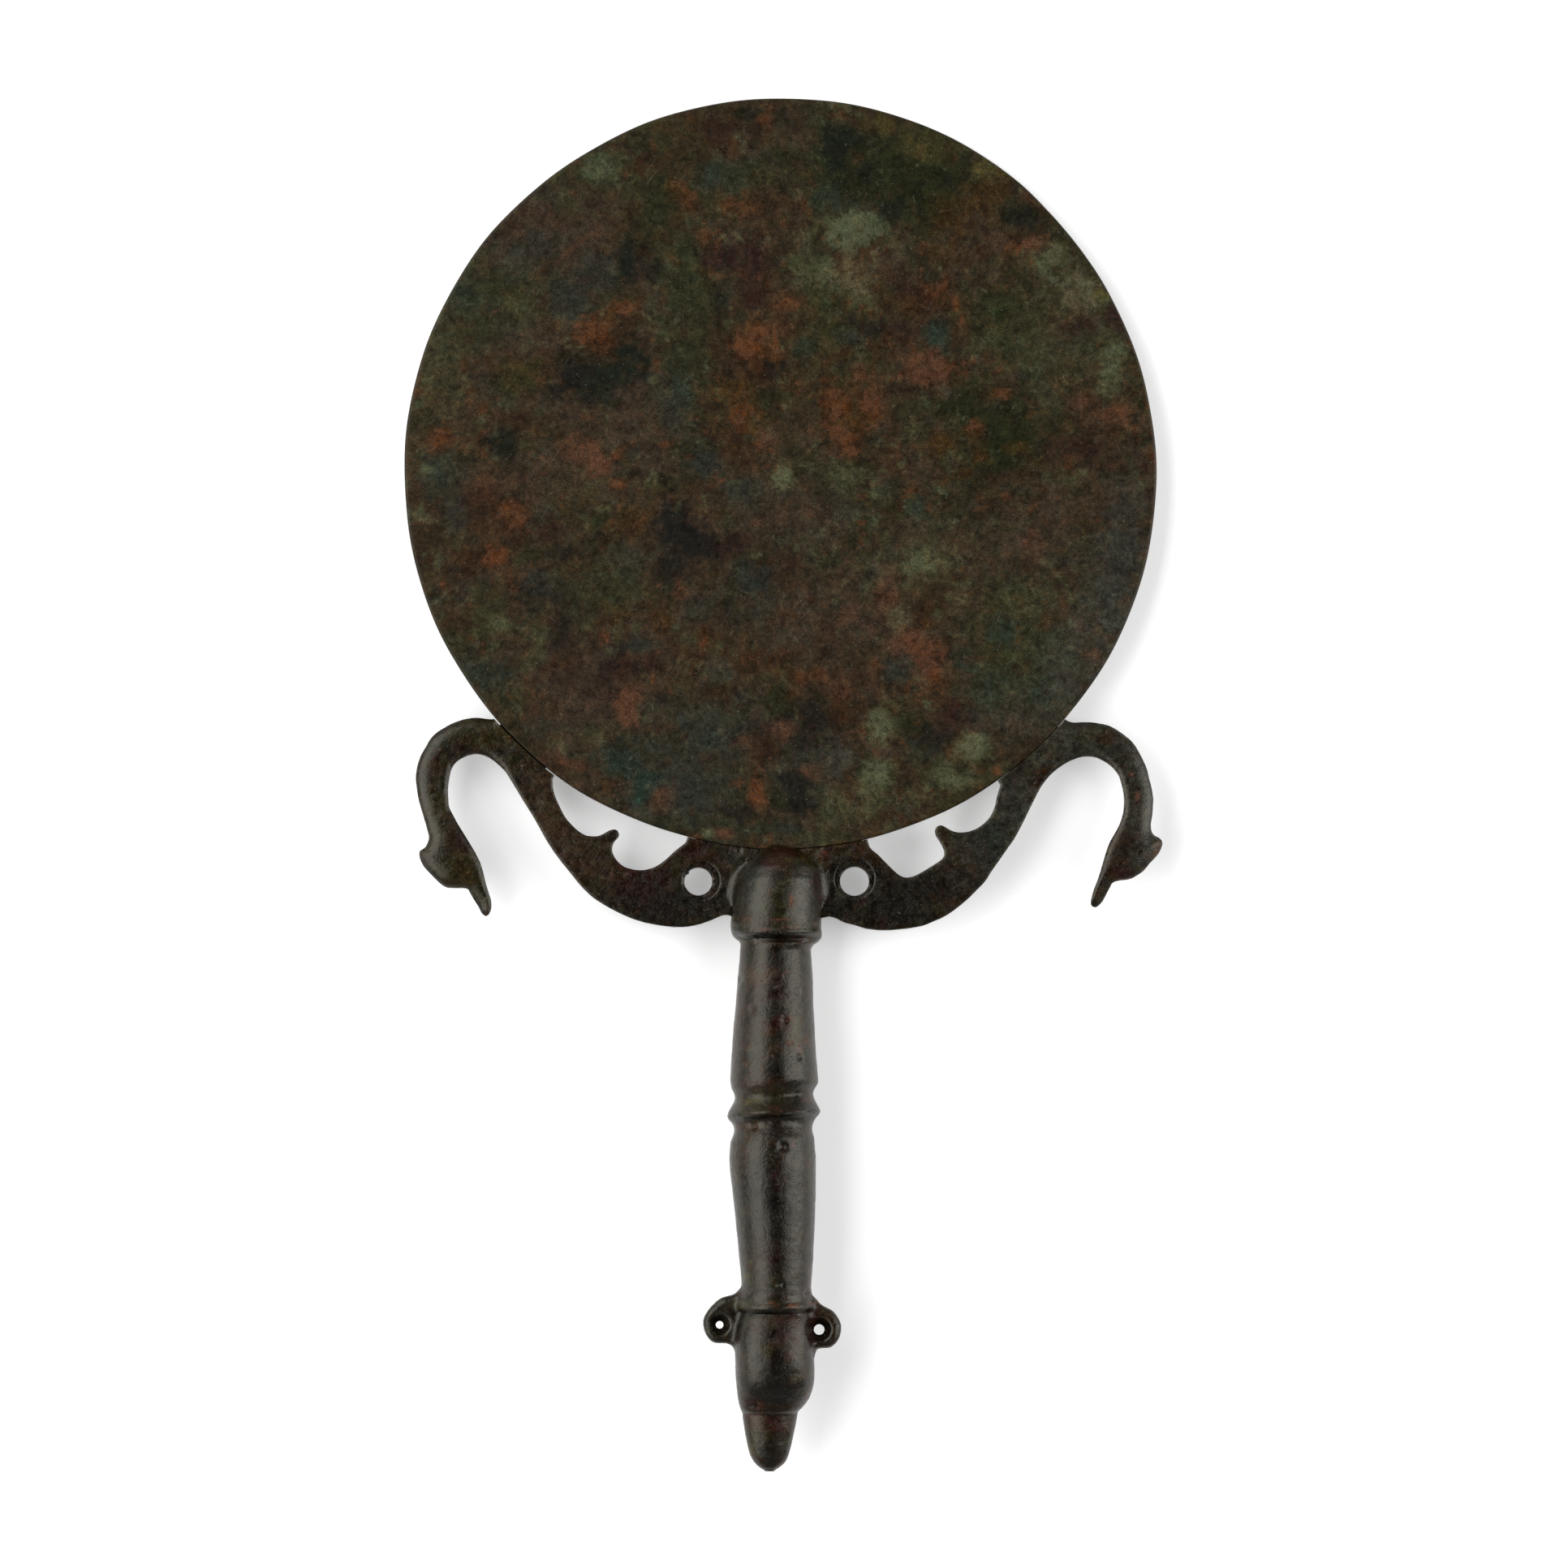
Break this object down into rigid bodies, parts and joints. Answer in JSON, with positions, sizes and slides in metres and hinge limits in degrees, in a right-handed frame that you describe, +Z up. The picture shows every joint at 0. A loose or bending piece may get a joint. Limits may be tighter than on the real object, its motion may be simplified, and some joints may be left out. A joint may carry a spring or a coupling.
{
  "type": "hand mirror",
  "caption": "Round bronze hand mirror: pierced plate, swan-neck arms, half-round socket, moulded grip, pierced lugs and animal-head finial.",
  "frame": {"origin": "middle of the footprint of the mirror lying on its back, on the surface it lies on", "axes": "+Z up from the surface, +Y from the finial towards the far rim of the disc, +X to the right seen from above with the disc away from the viewer"},
  "size_m": [0.1512, 0.2736, 0.0188],
  "materials": {
    "disc_bronze": "dark mottled brown and green patina over bronze, dull satin",
    "handle_bronze": "dark olive-brown patina over cast bronze, slightly polished by handling"
  },
  "bodies": {
    "root": {"mirror_disc": "disc_bronze", "handle": "handle_bronze"}
  },
  "joints": []
}
